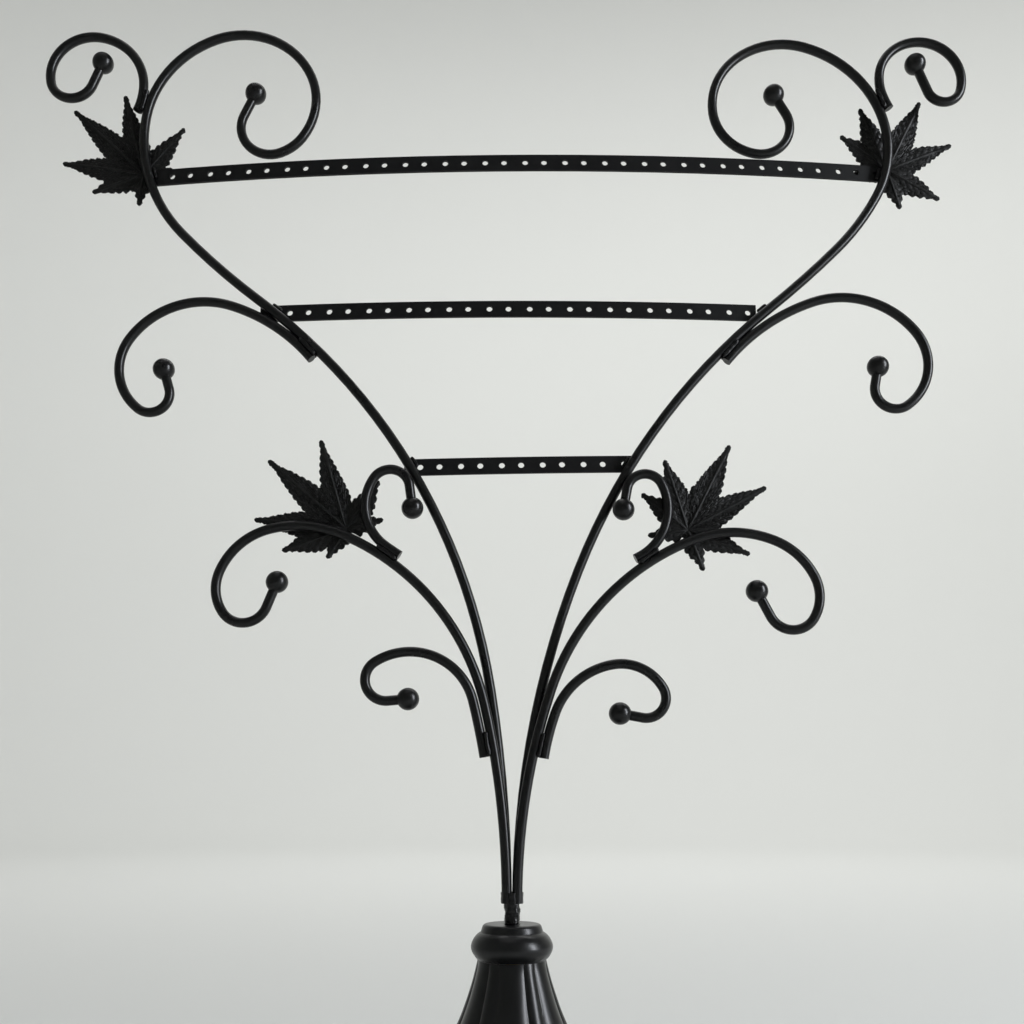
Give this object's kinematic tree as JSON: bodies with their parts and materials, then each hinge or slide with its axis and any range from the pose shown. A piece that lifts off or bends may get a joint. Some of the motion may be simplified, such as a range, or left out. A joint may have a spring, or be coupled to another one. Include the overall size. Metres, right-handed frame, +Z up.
{
  "type": "jewellery tree",
  "caption": "Bent-wire jewellery tree: scrolled hooks with ball ends, bowed pierced bars for earrings and cast leaves, turning on a stud in a fluted bell base.",
  "frame": {"origin": "centre of the felt under the foot, on the base's axis", "axes": "+Z up along the base's axis, -Y to the front, +X to the right seen from the front"},
  "size_m": [0.4033, 0.144, 0.5028],
  "materials": {
    "wire_enamel": "satin black enamel on drawn steel wire and turned steel balls",
    "bar_enamel": "matt black enamel on pierced steel strip",
    "leaf_casting": "matt black enamel on thin cast leaves",
    "base_enamel": "satin black enamel on a cast and turned base",
    "insert_brass": "turned",
    "bright_steel": "zinc-plated",
    "ballast_iron": "as cast",
    "felt": "pressed wool felt"
  },
  "bodies": {
    "base": {"collar": "base_enamel", "bell": "base_enamel", "foot": "base_enamel", "threaded_insert": "insert_brass", "tie_rod": "bright_steel", "ballast": "ballast_iron", "washer": "bright_steel", "nut": "bright_steel", "felt_pad": "felt"},
    "tree": {"main_stem_left": "wire_enamel", "main_stem_right": "wire_enamel", "branch_left": "wire_enamel", "branch_right": "wire_enamel", "top_hook_left": "wire_enamel", "top_hook_right": "wire_enamel", "outer_hook_left": "wire_enamel", "outer_hook_right": "wire_enamel", "inner_hook_left": "wire_enamel", "inner_hook_right": "wire_enamel", "low_hook_left": "wire_enamel", "low_hook_right": "wire_enamel", "main_ball_left": "wire_enamel", "main_ball_right": "wire_enamel", "branch_ball_left": "wire_enamel", "branch_ball_right": "wire_enamel", "top_ball_left": "wire_enamel", "top_ball_right": "wire_enamel", "outer_ball_left": "wire_enamel", "outer_ball_right": "wire_enamel", "inner_ball_left": "wire_enamel", "inner_ball_right": "wire_enamel", "low_ball_left": "wire_enamel", "low_ball_right": "wire_enamel", "top_bar": "bar_enamel", "middle_bar": "bar_enamel", "bottom_bar": "bar_enamel", "top_leaf_left": "leaf_casting", "top_leaf_right": "leaf_casting", "low_leaf_left": "leaf_casting", "low_leaf_right": "leaf_casting", "hook_welds": "wire_enamel", "bar_welds": "wire_enamel", "foot_weld": "wire_enamel", "stem_stud": "wire_enamel"}
  },
  "joints": [
    {"name": "tree_turn", "type": "hinge", "parent": "base", "child": "tree", "pos_m": [0, 0, 0.12], "axis": [0, 0, 1], "continuous": true}
  ]
}
